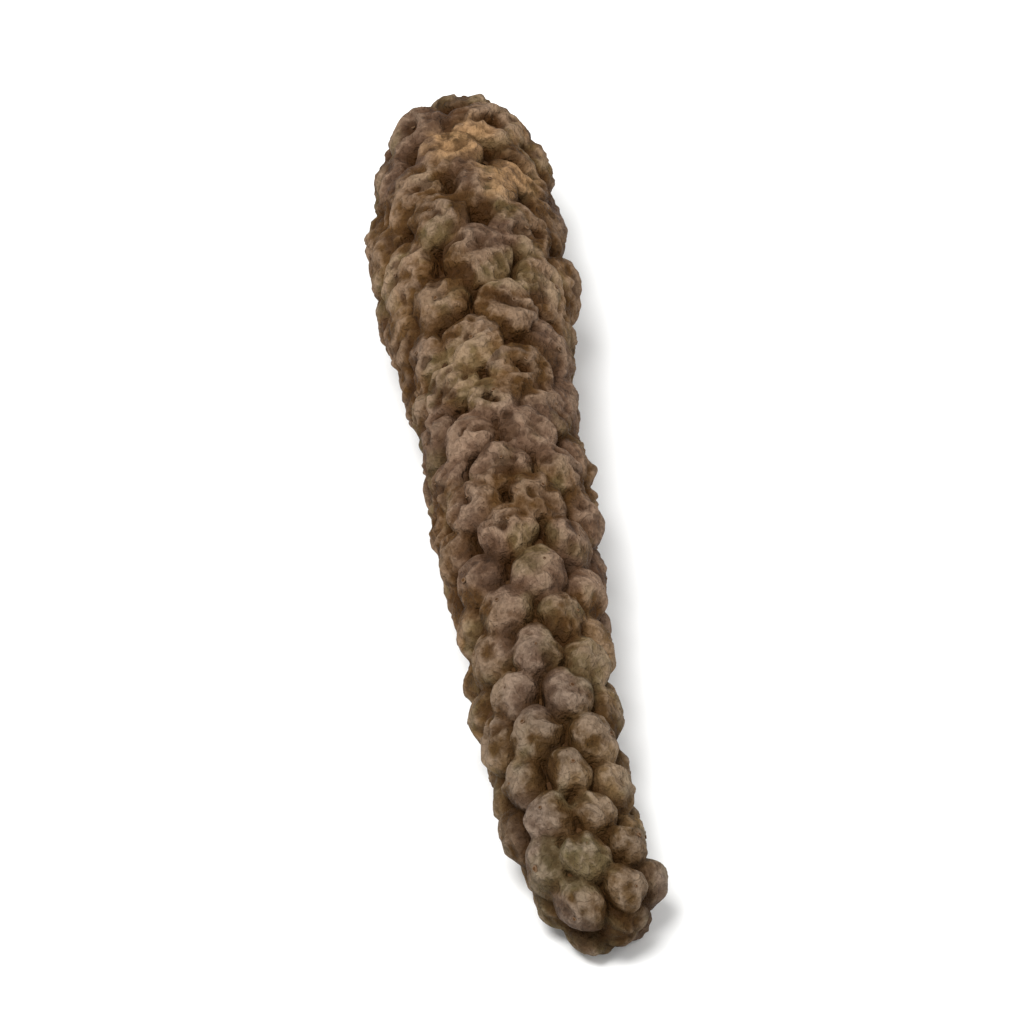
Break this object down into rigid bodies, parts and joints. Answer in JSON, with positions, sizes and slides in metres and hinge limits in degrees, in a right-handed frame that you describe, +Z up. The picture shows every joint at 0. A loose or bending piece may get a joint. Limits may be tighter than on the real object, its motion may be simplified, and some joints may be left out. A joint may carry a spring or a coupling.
{
  "type": "dried long pepper spike",
  "caption": "Slender dried long pepper lying on its side: a slightly arched fruit spike covered in small fused berries, thick at the stalk end and narrowing to a blunt tip.",
  "frame": {"origin": "Under the middle of the spike's box, on the surface that it lies on.", "axes": "+X along the spike, from the stalk end to the tip. +Z up. The spike bows a little towards -Y at its middle."},
  "size_m": [0.04, 0.0072, 0.007],
  "materials": {
    "dried_pepper_skin": "dull, dusty dried skin: grey-tan crowns over dark brown hollows"
  },
  "bodies": {
    "root": {"pepper_spike": "dried_pepper_skin"}
  },
  "joints": []
}
